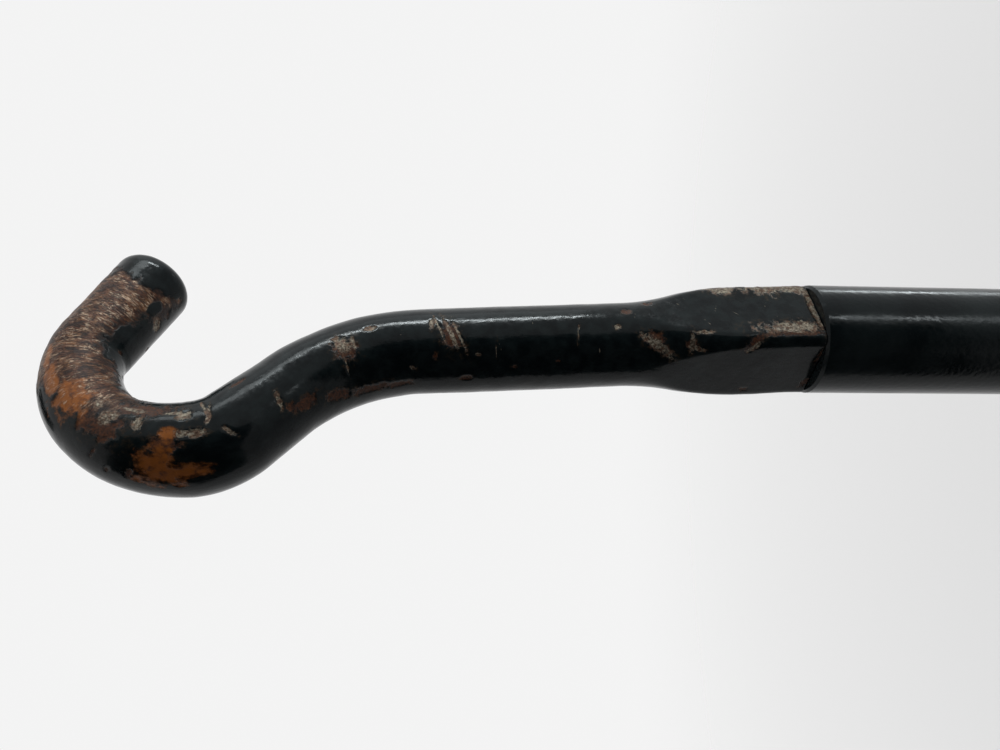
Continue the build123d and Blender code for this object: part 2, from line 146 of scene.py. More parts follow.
def lattice(ix, iy, iz, seed):
    """A repeatable number from 0 to 1 for each lattice corner, scattered by large odd factors."""
    mixed = ix * 374761393 + iy * 668265263 + iz * 2147483647 + seed * 974634777
    mixed = (mixed ^ (mixed >> 13)) * 1274126177
    mixed = mixed ^ (mixed >> 16)
    return (mixed & 0xFFFF) / 65535.0


def noise3(points, scale, seed):
    """Value noise from -1 to 1; scale is the size of a lump."""
    scaled = points / scale
    cell = np.floor(scaled).astype(np.int64)
    inside = scaled - cell
    weight = inside * inside * (3 - 2 * inside)
    total = np.zeros(points.shape[:-1])
    for corner in range(8):
        dx, dy, dz = corner & 1, corner >> 1 & 1, corner >> 2 & 1
        share = weight[..., 0] if dx else 1 - weight[..., 0]
        share = share * (weight[..., 1] if dy else 1 - weight[..., 1])
        share = share * (weight[..., 2] if dz else 1 - weight[..., 2])
        total += share * lattice(cell[..., 0] + dx, cell[..., 1] + dy, cell[..., 2] + dz, seed)
    return total * 2 - 1


def rough_noise(points, scale, seed, octaves=3):
    """Layers of noise3, each half the size and half the strength of the last."""
    total = np.zeros(points.shape[:-1])
    for octave in range(octaves):
        total += noise3(points, scale / 2 ** octave, seed + octave) / 2 ** octave
    return total


def smooth(low, high, value):
    """0 below low, 1 above high, and an even ramp between."""
    share = np.clip((value - low) / (high - low), 0, 1)
    return share * share * (3 - 2 * share)


# ---- the handle's mesh ------------------------------------------------------------------

def handle_line(places):
    """Side, rise and lean of the bar's centre line at each place along it."""
    side = np.zeros_like(places)
    rise = np.zeros_like(places)
    lean = np.zeros_like(places)
    start, x, z, angle = 0.0, 0.0, 0.0, 0.0
    for radius, amount in HANDLE_RUNS:
        length = radius * abs(math.radians(amount)) if radius else amount
        here = places >= start - 1e-6
        travelled = places[here] - start
        if radius:
            way = math.copysign(1, amount)
            turned = angle + way * travelled / radius
            centre_x = x - way * radius * math.cos(angle)
            centre_z = z - way * radius * math.sin(angle)
            side[here] = centre_x + way * radius * np.cos(turned)
            rise[here] = centre_z + way * radius * np.sin(turned)
            lean[here] = turned
            angle += way * length / radius
            x = centre_x + way * radius * math.cos(angle)
            z = centre_z + way * radius * math.sin(angle)
        else:
            side[here] = x - travelled * math.sin(angle)
            rise[here] = z + travelled * math.cos(angle)
            lean[here] = angle
            x -= length * math.sin(angle)
            z += length * math.cos(angle)
        start += length
    return side, rise, lean


def handle_length():
    """Length of the bar's centre line from the seam to the tip."""
    return sum(r * abs(math.radians(a)) if r else a for r, a in HANDLE_RUNS)


def boss_reach(angle):
    """Distance from the axis to a rounded square's side, at each angle round it."""
    from_flat = np.abs((np.degrees(angle) + 45) % 90 - 45)
    turned = np.radians(from_flat)
    flat = BOSS_HALF / np.cos(turned)
    centre = BOSS_HALF - BOSS_CORNER
    along = centre * (np.cos(turned) + np.sin(turned))
    inside = np.maximum(along ** 2 - 2 * centre ** 2 + BOSS_CORNER ** 2, 0)
    corner = along + np.sqrt(inside)
    return np.where(BOSS_HALF * np.tan(turned) <= centre, flat, corner)


def softer_min(a, b, width):
    """The smaller of a and b, rounded where they cross."""
    share = np.clip(0.5 + (b - a) / (2 * width), 0, 1)
    return b * (1 - share) + a * share - width * share * (1 - share)


def bar_reach(along, angle):
    """Radius of the clean forging, before wear."""
    bar = np.interp(along, BAR_PLACES, BAR_RADII)
    envelope = bar + (SHANK_R - bar) * (1 - smooth(BOSS_FULL - 3, BOSS_TOP + 4, along))
    boss = softer_min(boss_reach(angle), envelope, 0.5)
    share = smooth(BOSS_TOP - 14, BOSS_TOP + 3, along)
    return boss * (1 - share) + bar * share


def patch_field(patches, along, arc_angle, reach, ragged):
    """Highest coverage of any patch: over 0 inside one, under 0 outside them all."""
    field = np.full(along.shape, FAR_OUTSIDE)
    for place, angle, half_length, half_width, turn in patches:
        ds = along - place
        da = (np.degrees(arc_angle) - angle + 180) % 360 - 180
        da = np.radians(da) * reach
        near = (np.abs(ds) < PATCH_REACH) & (np.abs(da) < PATCH_REACH)
        turned = math.radians(turn)
        u = (ds[near] * math.cos(turned) + da[near] * math.sin(turned)) / half_length
        v = (da[near] * math.cos(turned) - ds[near] * math.sin(turned)) / half_width
        size = min(half_length, half_width)
        sway = ragged[near] * min(1.0, 0.35 + 0.25 * size)
        outward = np.abs(u) ** PATCH_SQUARENESS + np.abs(v) ** PATCH_SQUARENESS
        value = 1 - outward ** (1 / PATCH_SQUARENESS) + sway
        field[near] = np.maximum(field[near], value)
    return field


def hidden_chips():
    """Small chips over the sides that the listed patches leave alone."""
    chance = np.random.default_rng(SEED)
    chips = []
    for _ in range(HIDDEN_CHIPS):
        place = chance.uniform(4, 200)
        angle = chance.uniform(62, 220)
        size = chance.uniform(0.25, 1.5)
        chips.append((place, angle, size, size * chance.uniform(0.3, 1.6), chance.uniform(-50, 50)))
    return chips


def worn_leg_field(along, angle, broad, ragged):
    """Over 0 on the part of the crook's leg that rubbing has stripped."""
    low, high = WORN_LEG
    first = np.interp(along, *zip(*WORN_OUTER_EDGE))
    last = np.interp(along, *zip(*WORN_INNER_EDGE))
    place = along + 3.0 * broad + 3.0 * ragged
    turn = np.degrees(angle) + 16 * broad + 18 * ragged
    ends = np.minimum((place - low) / 6, (high - place) / 1.8)
    sides = np.minimum((turn - first) / 16, (last - turn) / 22)
    return np.minimum(ends, sides)


def wear_fields(along, angle, reach):
    """Where the paint is gone: each field is over 0 inside the worn places, under 0 outside."""
    around = np.stack([along, reach * np.cos(angle), reach * np.sin(angle)], axis=-1)
    ragged = rough_noise(around, 1.7, 11, 4) * 0.55
    broad = rough_noise(around, 7.0, 71, 3)
    chips = hidden_chips()
    steel = patch_field(STEEL_PATCHES + chips[::2], along, angle, reach, ragged)
    rust = patch_field(RUST_PATCHES + chips[1::2], along, angle, reach, ragged)
    kept = patch_field(PAINT_LEFT, along, angle, reach, ragged)
    leg = np.minimum(worn_leg_field(along, angle, broad, ragged), -3 * kept)
    fields = {
        "steel": steel,
        "rust": rust,
        "orange": patch_field(RUST_PATCHES[:ORANGE_COUNT], along, angle, reach, ragged),
        "leg": leg,
        "scratch": patch_field(LIGHT_SCRATCHES, along, angle, reach, ragged * 0.3),
    }
    return {name: np.clip(field, -1, 1) for name, field in fields.items()}


def handle_rings():
    """Places along the bar, closer together at its two ends."""
    length = handle_length()
    middle = np.linspace(SEAM_CRACK + END_EDGE, length - TIP_ROUNDING, RINGS)
    turn = np.linspace(0, math.pi / 2, END_RINGS + 1)[:-1]
    lower = SEAM_CRACK + END_EDGE * (1 - np.cos(turn))
    upper = length - TIP_ROUNDING * (1 - np.sin(turn[1:]))
    return np.concatenate([lower, middle, upper])


def end_rounding(along, length):
    """How far the surface draws in at the seam's edge and at the tip."""
    at_seam = np.clip((SEAM_CRACK + END_EDGE - along) / END_EDGE, 0, 1)
    at_tip = np.clip((along - (length - TIP_ROUNDING)) / TIP_ROUNDING, 0, 1)
    seam_loss = END_EDGE * (1 - np.sqrt(1 - at_seam ** 2))
    tip_loss = TIP_ROUNDING * (1 - np.sqrt(1 - at_tip ** 2))
    return seam_loss + tip_loss


def grid_faces(rings, spokes):
    """Quads of a tube: ring after ring, closed round the spokes."""
    ring = np.arange(rings - 1)[:, None] * spokes
    spoke = np.arange(spokes)[None, :]
    after = (spoke + 1) % spokes
    quads = np.stack([ring + spoke, ring + after, ring + after + spokes, ring + spoke + spokes], -1)
    return quads.reshape(-1, 4)


def new_object(name, mesh):
    """Put a mesh into the scene."""
    piece = bpy.data.objects.new(name, mesh)
    bpy.context.scene.collection.objects.link(piece)
    return piece


def add_float(mesh, name, values):
    """Store one number for each vertex, for the material to read."""
    layer = mesh.attributes.new(name, "FLOAT", "POINT")
    layer.data.foreach_set("value", np.ascontiguousarray(values, dtype=np.float32))


def make_handle():
    """The forged handle: a swept tube with a squared boss, lumps, chips and a rounded tip."""
    length = handle_length()
    places = handle_rings()
    angles = np.linspace(-math.pi, math.pi, SPOKES, endpoint=False)
    along, angle = np.meshgrid(places, angles, indexing="ij")
    reach = bar_reach(along, angle)
    wear = wear_fields(along, angle, reach)

    around = np.stack([along, reach * np.cos(angle), reach * np.sin(angle)], axis=-1)
    lumps = LUMP_HEIGHT * rough_noise(around, LUMP_SIZE, 91, 2)
    lumps = lumps + RIPPLE_HEIGHT * rough_noise(around, RIPPLE_SIZE, 95, 2)
    lumps = lumps * smooth(3, 12, along)
    gone = np.maximum(np.maximum(wear["steel"], wear["rust"]), wear["leg"])
    bare = smooth(0.0, 0.25, gone)
    pits = PIT_DEPTH * bare * rough_noise(around, 0.9, 99, 2)
    surface = reach + lumps - PAINT_DEPTH * bare + pits - end_rounding(along, length)

    side, rise, lean = handle_line(places)
    inward = np.stack([np.cos(lean), np.zeros_like(lean), np.sin(lean)], axis=-1)
    front = np.array([0.0, -1.0, 0.0])
    centre = np.stack([side, np.zeros_like(side), rise], axis=-1)
    spoke = np.cos(angle)[..., None] * front + np.sin(angle)[..., None] * inward[:, None, :]
    points = centre[:, None, :] + surface[..., None] * spoke
    points = points.reshape(-1, 3)
    end_points = np.stack([centre[0], centre[-1]])
    points = np.concatenate([points, end_points])
    points = points * MM + np.array([AXIS_X, AXIS_Y, SEAM_Z])

    rings = len(places)
    faces = grid_faces(rings, SPOKES).tolist()
    first, last = rings * SPOKES, rings * SPOKES + 1
    for step in range(SPOKES):
        after = (step + 1) % SPOKES
        faces.append([first, after, step])
        faces.append([last, (rings - 1) * SPOKES + step, (rings - 1) * SPOKES + after])
    mesh = bpy.data.meshes.new("forged_handle")
    mesh.from_pydata(points.tolist(), [], faces)
    mesh.shade_smooth()
    for name, field in wear.items():
        add_float(mesh, name, np.concatenate([field.ravel(), [-1.0, -1.0]]))
    coordinates = np.concatenate([around.reshape(-1, 3), np.zeros((2, 3))])
    layer = mesh.attributes.new("bar", "FLOAT_VECTOR", "POINT")
    layer.data.foreach_set("vector", coordinates.astype(np.float32).ravel())
    return new_object("forged_handle", mesh)


# ---- materials --------------------------------------------------------------------------------

class Nodes:
    """Short calls for one material's node tree."""

    def __init__(self, name):
        self.material = bpy.data.materials.new(name)
        self.material.use_nodes = True
        self.tree = self.material.node_tree
        self.shader = self.tree.nodes["Principled BSDF"]

    def put(self, socket, value):
        if hasattr(value, "is_output"):
            self.tree.links.new(value, socket)
        else:
            socket.default_value = value

    def node(self, kind, settings=None, **inputs):
        made = self.tree.nodes.new(kind)
        for key, value in (settings or {}).items():
            setattr(made, key, value)
        for key, value in inputs.items():
            self.put(made.inputs[key.replace("_", " ")], value)
        return made

    def attribute(self, name, output="Fac"):
        return self.node("ShaderNodeAttribute", {"attribute_name": name}).outputs[output]

    def place(self):
        return self.node("ShaderNodeTexCoord").outputs["Object"]

    def stretch(self, vector, scale):
        mapping = self.node("ShaderNodeMapping", Vector=vector)
        mapping.inputs["Scale"].default_value = scale
        return mapping.outputs["Vector"]

    def noise(self, vector, scale, detail=3.0, roughness=0.55, distortion=0.0):
        made = self.node("ShaderNodeTexNoise", Vector=vector, Scale=scale, Detail=detail)
        made.inputs["Roughness"].default_value = roughness
        made.inputs["Distortion"].default_value = distortion
        return made.outputs["Fac"]

    def ramp(self, value, low, high, from_value=0.0, to_value=1.0):
        made = self.node("ShaderNodeMapRange", {"interpolation_type": "SMOOTHSTEP"}, Value=value)
        limits = {"From Min": low, "From Max": high, "To Min": from_value, "To Max": to_value}
        for key, number in limits.items():
            made.inputs[key].default_value = number
        return made.outputs["Result"]

    def math(self, operation, first, second=0.5):
        made = self.node("ShaderNodeMath", {"operation": operation})
        self.put(made.inputs[0], first)
        self.put(made.inputs[1], second)
        return made.outputs[0]

    def mix(self, share, first, second):
        made = self.node("ShaderNodeMix", {"data_type": "RGBA"})
        self.put(made.inputs[0], share)
        self.put(made.inputs[6], first)
        self.put(made.inputs[7], second)
        return made.outputs[2]

    def blend(self, share, first, second):
        made = self.node("ShaderNodeMix", {"data_type": "FLOAT"})
        self.put(made.inputs[0], share)
        self.put(made.inputs[2], first)
        self.put(made.inputs[3], second)
        return made.outputs[0]

    def bump(self, height, distance, strength=1.0, normal=None):
        made = self.node("ShaderNodeBump", Height=height, Distance=distance, Strength=strength)
        if normal is not None:
            self.put(made.inputs["Normal"], normal)
        return made.outputs["Normal"]

    def edges(self, radius, low, high):
        """1 where the surface bends sharply within the radius."""
        soft = self.node("ShaderNodeBevel", {"samples": 4}, Radius=radius).outputs["Normal"]
        flat = self.node("ShaderNodeNewGeometry").outputs["Normal"]
        dot = self.node("ShaderNodeVectorMath", {"operation": "DOT_PRODUCT"})
        self.put(dot.inputs[0], soft)
        self.put(dot.inputs[1], flat)
        return self.ramp(dot.outputs["Value"], high, low)

    def finish(self, **inputs):
        """Set or link the shader's inputs and give back the material."""
        names = {
            "color": "Base Color",
            "roughness": "Roughness",
            "metallic": "Metallic",
            "normal": "Normal",
        }
        for key, value in inputs.items():
            self.put(self.shader.inputs[names[key]], value)
        return self.material


PAINT_DARK = (0.0030, 0.0048, 0.0056, 1)
PAINT_LIGHT = (0.0075, 0.0110, 0.0118, 1)
STEEL_PALE = (0.27, 0.235, 0.18, 1)
STEEL_DULL = (0.060, 0.046, 0.034, 1)
RUST_DARK = (0.013, 0.0060, 0.0042, 1)
RUST_BROWN = (0.090, 0.030, 0.012, 1)
RUST_ORANGE = (0.230, 0.072, 0.013, 1)
RUST_TAN = (0.180, 0.082, 0.030, 1)
# Pale colour of fine scratches; on the worn leg it also serves as a painted highlight for the lamps'
# glints.
SCRATCH_PALE_AND_PAINTED_GLINT = (0.50, 0.37, 0.26, 1)
STAIN = (0.026, 0.018, 0.011, 1)
TOOL_LINES = (1.0, 1.0, 14.0)      # noise squeezed along Z, across the turned surface
PAINT_SPECULAR = 0.12
BARE_SPECULAR = 0.14
LEG_SPECULAR = 0.15


def handle_material():
    """Black gloss paint, bare steel and rust, laid out by the mesh's wear fields."""
    m = Nodes("handle_paint_and_rust")
    bar = m.attribute("bar", "Vector")
    fray = m.math("SUBTRACT", m.noise(bar, 0.9, 8.0, 0.68), 0.5)
    grain = m.noise(bar, 2.4, 5.0, 0.65)
    blotch = m.noise(bar, 0.35, 4.0)
    mottle = m.noise(bar, 0.9, 4.0, 0.6)
    coarse = m.noise(m.stretch(bar, (1.0, 0.45, 0.45)), 0.55, 4.0, 0.6, 0.6)
    lines = m.noise(m.stretch(bar, (1.0, 0.24, 0.24)), 1.9, 8.0, 0.76, 1.2)
    hairs = m.noise(m.stretch(bar, (1.0, 0.16, 0.16)), 3.0, 5.0, 0.70, 1.8)

    def worn_by(name, spread, low, high):
        """How far one wear field has gone here, with its edge frayed by the fine noise."""
        return m.ramp(m.math("ADD", m.attribute(name), m.math("MULTIPLY", fray, spread)), low, high)

    steel = worn_by("steel", 2.4, -0.05, 0.30)
    rust = worn_by("rust", 2.4, -0.15, 0.45)
    leg = worn_by("leg", 3.0, -0.30, 0.70)
    orange = worn_by("orange", 1.5, -0.40, 0.40)
    scratch = worn_by("scratch", 0.8, 0.1, 0.4)
    near_steel = worn_by("steel", 2.0, -0.7, 0.3)
    near_rust = worn_by("rust", 2.0, -0.7, 0.3)
    near_wear = m.math("MAXIMUM", near_steel, near_rust)

    paint = m.mix(m.ramp(blotch, 0.35, 0.7), PAINT_DARK, PAINT_LIGHT)
    paint = m.mix(m.math("MULTIPLY", near_wear, m.ramp(mottle, 0.45, 0.60)), paint, STAIN)
    brown = m.mix(m.ramp(grain, 0.32, 0.68), RUST_DARK, RUST_BROWN)
    glow = m.mix(m.ramp(mottle, 0.30, 0.54), RUST_BROWN, RUST_ORANGE)
    tan = m.mix(m.ramp(grain, 0.35, 0.65), RUST_BROWN, RUST_TAN)

    rubbed = m.mix(m.ramp(lines, 0.44, 0.58), RUST_DARK, RUST_BROWN)
    tanned = m.math("MULTIPLY", m.ramp(blotch, 0.44, 0.60), m.ramp(lines, 0.42, 0.60))
    rubbed = m.mix(tanned, rubbed, tan)
    rubbed = m.mix(m.math("MULTIPLY", m.ramp(coarse, 0.52, 0.62), 0.85), rubbed, RUST_DARK)
    rubbed = m.mix(m.math("MULTIPLY", m.ramp(m.attribute("leg"), 1.0, 0.1), 0.75), rubbed, RUST_DARK)
    # Pale streaks, strongest in the middle of the worn leg: partly real bright scratches, partly a
    # painted highlight standing in for glints.
    scratch_and_painted_glint = m.math("MULTIPLY", m.ramp(hairs, 0.53, 0.61), m.ramp(coarse, 0.54, 0.42))
    scratch_and_painted_glint = m.math("MULTIPLY", scratch_and_painted_glint, m.ramp(m.attribute("leg"), 0.2, 0.9, 0.0, 0.9))

    metal = m.mix(m.ramp(grain, 0.40, 0.64), STEEL_DULL, STEEL_PALE)
    metal = m.mix(m.math("MULTIPLY", m.ramp(mottle, 0.46, 0.60), 0.75), metal, brown)
    color = m.mix(leg, paint, rubbed)
    color = m.mix(m.math("MULTIPLY", rust, 0.85), color, brown)
    color = m.mix(orange, color, glow)
    color = m.mix(steel, color, metal)
    color = m.mix(m.math("MULTIPLY", scratch, 0.5), color, STEEL_PALE)
    # Painted highlight on the leg: the pale scratch colour laid over the streaks.
    color = m.mix(scratch_and_painted_glint, color, SCRATCH_PALE_AND_PAINTED_GLINT)

    bare = m.math("MAXIMUM", m.math("MAXIMUM", steel, rust), leg)
    shine = m.math("MAXIMUM", m.math("MULTIPLY", steel, 0.35), m.math("MULTIPLY", scratch_and_painted_glint, 0.7))
    rough = m.blend(bare, m.ramp(mottle, 0.3, 0.7, 0.12, 0.22), m.ramp(grain, 0.3, 0.7, 0.36, 0.62))

    peel = m.noise(bar, 0.85, 2.0, 0.4)
    brushed = m.noise(m.stretch(bar, (0.25, 1.0, 1.0)), 1.6, 3.0, 0.5)
    gloss_skin = m.bump(brushed, 0.00003, 0.5, m.bump(peel, 0.00006, 0.55))
    edge = m.bump(m.math("SUBTRACT", 1.0, bare), 0.00008, 0.7, gloss_skin)
    rough_skin = m.bump(grain, 0.00012, m.math("MULTIPLY", bare, 0.6), edge)
    rough_skin = m.bump(lines, 0.00016, m.math("MULTIPLY", leg, 0.8), rough_skin)
    rough = m.blend(leg, rough, m.ramp(lines, 0.40, 0.60, 0.48, 0.30))
    specular = m.blend(bare, PAINT_SPECULAR, BARE_SPECULAR)
    m.put(m.shader.inputs["Specular IOR Level"], m.blend(leg, specular, LEG_SPECULAR))
    return m.finish(color=color, roughness=rough, metallic=shine, normal=rough_skin)


def painted_metal():
    """Black gloss paint over steel, chipped along the edges and at odd spots."""
    m = Nodes("black_paint_on_steel")
    place = m.place()
    blotch = m.noise(place, 45.0, 4.0)
    grain = m.noise(place, 900.0, 4.0)
    spots = m.noise(place, 60.0, 6.0, 0.68)
    edge = m.edges(0.0011, 0.90, 0.995)
    worn_edge = m.math("MULTIPLY", edge, m.ramp(m.noise(place, 220.0, 4.0), 0.40, 0.60))
    chips = m.ramp(spots, 0.695, 0.715)
    bare = m.math("MAXIMUM", worn_edge, chips)
    paint = m.mix(m.ramp(blotch, 0.35, 0.7), PAINT_DARK, PAINT_LIGHT)
    rust = m.mix(m.ramp(grain, 0.3, 0.7), RUST_DARK, RUST_BROWN)
    steel = m.mix(m.ramp(grain, 0.3, 0.7), STEEL_DULL, STEEL_PALE)
    worn = m.mix(m.ramp(blotch, 0.375, 0.625), steel, rust)
    color = m.mix(bare, paint, worn)
    rough = m.blend(bare, m.ramp(blotch, 0.3, 0.7, 0.18, 0.32), 0.6)
    peel = m.bump(m.noise(place, 850.0, 2.0, 0.4), 0.00006, 0.55)
    chipped = m.bump(m.math("SUBTRACT", 1.0, bare), 0.00012, 0.8, peel)
    m.shader.inputs["Specular IOR Level"].default_value = PAINT_SPECULAR
    shine = m.math("MULTIPLY", bare, 0.4)
    return m.finish(color=color, roughness=rough, metallic=shine, normal=chipped)


def shank_material():
    """Gloss paint on the bolt's shank, rubbed to bright steel where it slides in the guides."""
    m = Nodes("shank_paint")
    place = m.place()
    height = m.node("ShaderNodeSeparateXYZ", Vector=place).outputs["Z"]
    bush_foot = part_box("lower_guide_bush")[0].z
    bush_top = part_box("upper_guide_bush")[1].z
    lines = m.noise(m.stretch(place, (1.0, 1.0, 0.03)), 2600.0, 4.0, 0.7)
    blotch = m.noise(place, 60.0, 5.0, 0.6)
    grain = m.noise(place, 1100.0, 4.0)
    rubbed = m.ramp(height, bush_foot - 0.055, bush_foot - 0.020)
    rubbed = m.math("MULTIPLY", rubbed, m.ramp(height, bush_top + 0.012, bush_top - 0.010))
    pattern = m.math("ADD", m.math("MULTIPLY", lines, 0.55), m.math("MULTIPLY", blotch, 0.45))
    rubbed = m.math("MULTIPLY", rubbed, m.ramp(pattern, 0.46, 0.56))
    chips = m.ramp(m.noise(place, 75.0, 6.0, 0.68), 0.70, 0.715)
    edge = m.math("MULTIPLY", m.edges(0.0005, 0.92, 0.995), m.ramp(blotch, 0.56, 0.68))
    bare = m.math("MAXIMUM", m.math("MAXIMUM", rubbed, chips), edge)
    paint = m.mix(m.ramp(blotch, 0.35, 0.7), PAINT_DARK, PAINT_LIGHT)
    steel = m.mix(m.ramp(grain, 0.3, 0.7), STEEL_DULL, STEEL_PALE)
    rust = m.mix(m.ramp(grain, 0.3, 0.7), RUST_DARK, RUST_BROWN)
    worn = m.mix(m.ramp(m.noise(place, 130.0, 4.0), 0.52, 0.62), steel, rust)
    color = m.mix(bare, paint, worn)
    rough = m.blend(bare, m.ramp(blotch, 0.3, 0.7, 0.14, 0.26), 0.42)
    peel = m.bump(m.noise(place, 900.0, 2.0, 0.4), 0.00007, 0.6)
    cut = m.bump(m.math("SUBTRACT", 1.0, bare), 0.00010, 0.7, peel)
    m.shader.inputs["Specular IOR Level"].default_value = PAINT_SPECULAR
    shine = m.math("MULTIPLY", bare, 0.7)
    return m.finish(color=color, roughness=rough, metallic=shine, normal=cut)


def turned_metal(name, pale, dull, rough_low, rough_high, stain):
    """Bare machined metal with fine tool lines, stains and a little rust."""
    m = Nodes(name)
    place = m.place()
    tool = m.noise(m.stretch(place, TOOL_LINES), 380.0, 4.0, 0.65)
    blotch = m.noise(place, 70.0, 5.0, 0.6)
    metal = m.mix(m.ramp(blotch, 0.3, 0.7), dull, pale)
    patches = m.ramp(m.noise(place, 120.0, 6.0, 0.66), 0.56, 0.68)
    color = m.mix(m.math("MULTIPLY", patches, 0.8), metal, stain)
    rough = m.blend(patches, m.ramp(tool, 0.3, 0.7, rough_low, rough_high), 0.75)
    metallic = m.blend(patches, 1.0, 0.15)
    skin = m.bump(tool, 0.00004, 0.5)
    return m.finish(color=color, roughness=rough, metallic=metallic, normal=skin)


def galvanised():
    """Hot-dip zinc: pale crystals of different greys with white bloom."""
    m = Nodes("hot_dip_zinc")
    place = m.place()
    cells = m.node("ShaderNodeTexVoronoi", Vector=place, Scale=170.0)
    tone = m.node("ShaderNodeSeparateXYZ", Vector=cells.outputs["Color"]).outputs["X"]
    bloom = m.ramp(m.noise(place, 28.0, 5.0, 0.6), 0.48, 0.68)
    color = m.mix(m.ramp(tone, 0.0, 1.0), (0.30, 0.32, 0.34, 1), (0.52, 0.54, 0.55, 1))
    color = m.mix(m.math("MULTIPLY", bloom, 0.55), color, (0.62, 0.63, 0.62, 1))
    rust = m.ramp(m.noise(place, 55.0, 6.0, 0.68), 0.66, 0.72)
    color = m.mix(rust, color, RUST_BROWN)
    rough = m.blend(rust, m.ramp(tone, 0.0, 1.0, 0.32, 0.52), 0.85)
    metallic = m.blend(m.math("MAXIMUM", rust, m.math("MULTIPLY", bloom, 0.6)), 0.85, 0.1)
    skin = m.bump(m.noise(place, 160.0, 4.0), 0.00025, 0.6)
    return m.finish(color=color, roughness=rough, metallic=metallic, normal=skin)


def cast_paint():
    """Painted sand casting: a pebbled skin under black paint."""
    m = Nodes("painted_casting")
    place = m.place()
    sand = m.noise(place, 620.0, 4.0, 0.7)
    blotch = m.noise(place, 50.0, 5.0)
    edge = m.edges(0.0013, 0.90, 0.995)
    edge = m.math("MULTIPLY", edge, m.ramp(m.noise(place, 200.0, 4.0), 0.42, 0.6))
    chips = m.math("MAXIMUM", edge, m.ramp(m.noise(place, 90.0, 6.0, 0.68), 0.69, 0.71))
    paint = m.mix(m.ramp(blotch, 0.35, 0.7), PAINT_DARK, PAINT_LIGHT)
    rust = m.mix(m.ramp(sand, 0.35, 0.65), RUST_DARK, RUST_ORANGE)
    color = m.mix(chips, paint, rust)
    rough = m.blend(chips, m.ramp(blotch, 0.3, 0.7, 0.32, 0.48), 0.85)
    skin = m.bump(sand, 0.00022, 0.8)
    m.shader.inputs["Specular IOR Level"].default_value = PAINT_SPECULAR
    return m.finish(color=color, roughness=rough, normal=skin)


def dress(node, material):
    """Give a CAD node's object one material on every slot."""
    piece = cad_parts[node]
    if not piece.material_slots:
        piece.data.materials.append(material)
    for slot in piece.material_slots:
        slot.material = material


def dress_all():
    """Give every CAD node its finish; the forged handle has its own."""
    black = painted_metal()
    casting = cast_paint()
    zinc = turned_metal(
        "zinc_plated_steel", (0.44, 0.43, 0.39, 1), (0.26, 0.25, 0.23, 1), 0.30, 0.48, RUST_BROWN
    )
    dark = turned_metal(
        "oiled_spring_steel", (0.20, 0.20, 0.21, 1), (0.08, 0.08, 0.085, 1), 0.30, 0.5, RUST_DARK
    )
    steel = turned_metal(
        "worn_steel", (0.46, 0.44, 0.41, 1), (0.24, 0.22, 0.20, 1), 0.26, 0.48, RUST_BROWN
    )
    bronze = turned_metal(
        "oiled_bronze", (0.60, 0.38, 0.16, 1), (0.30, 0.18, 0.08, 1), 0.22, 0.42, (0.05, 0.04, 0.02, 1)
    )
    socket = galvanised()
    finishes = {
        "shank_nose": steel,
        "stop_collar": steel,
        "catch_rivets": zinc,
        "catch_plate": black,
        "catch_cradle": black,
        "socket_tube": socket,
        "socket_flange": socket,
        "socket_lugs": socket,
        "bolt_shank": shank_material(),
    }
    for pin in ("handle_spring_pin", "nose_spring_pin", "upper_stop_pin", "lower_stop_pin"):
        finishes[pin] = dark
    for guide in ("upper_guide", "lower_guide"):
        finishes[guide + "_base"] = casting
        finishes[guide + "_cap"] = black
        finishes[guide + "_bush"] = bronze
        finishes[guide + "_screws"] = zinc
        finishes[guide + "_washers"] = dark
    for node, material in finishes.items():
        dress(node, material)


# ---- studio -----------------------------------------------------------------------------------

VIEW_DIRECTION = Vector((0.68117, 0.72732, -0.08373))
VIEW_UP = Vector((0.73036, -0.68300, 0.00882))
VIEW_DISTANCE = 0.195
VIEW_AIM = Vector((-0.0021, 0.0111, 0.0712))     # from the seam's centre
LENS = 29.52
SENSOR = 36.0
WORLD_GREY = 0.90
FLOOR_DROP = 0.0005                # below the lowest CAD point
FLOOR_RADIUS = 2.6
FLOOR_SIDES = 96
FLOOR_FADE = (0.35, 2.3)           # where the floor starts to turn clear and where it is gone
LIGHT_DISTANCE = 0.35              # from the bolt's axis
LIGHT_SPREAD = math.radians(100)
LIGHT_TINT = (0.90, 0.98, 1.0)
CARD_DISTANCE = 0.50
CARD_WIDTH, CARD_HEIGHT = 0.62, 1.20
CARD_FOOT = -0.30


def make_camera():
    """The view of the handle end, with the bolt lying across the picture."""
    camera = bpy.data.objects.new("camera", bpy.data.cameras.new("camera"))
    bpy.context.scene.collection.objects.link(camera)
    back = -VIEW_DIRECTION.normalized()
    up = (VIEW_UP - back * VIEW_UP.dot(back)).normalized()
    right = up.cross(back)
    turn = Matrix((right, up, back)).transposed()
    aim = Vector((AXIS_X, AXIS_Y, SEAM_Z)) + VIEW_AIM
    camera.matrix_world = Matrix.Translation(aim + back * VIEW_DISTANCE) @ turn.to_4x4()
    camera.data.lens = LENS
    camera.data.sensor_width = SENSOR
    camera.data.clip_start = 0.01
    bpy.context.scene.camera = camera


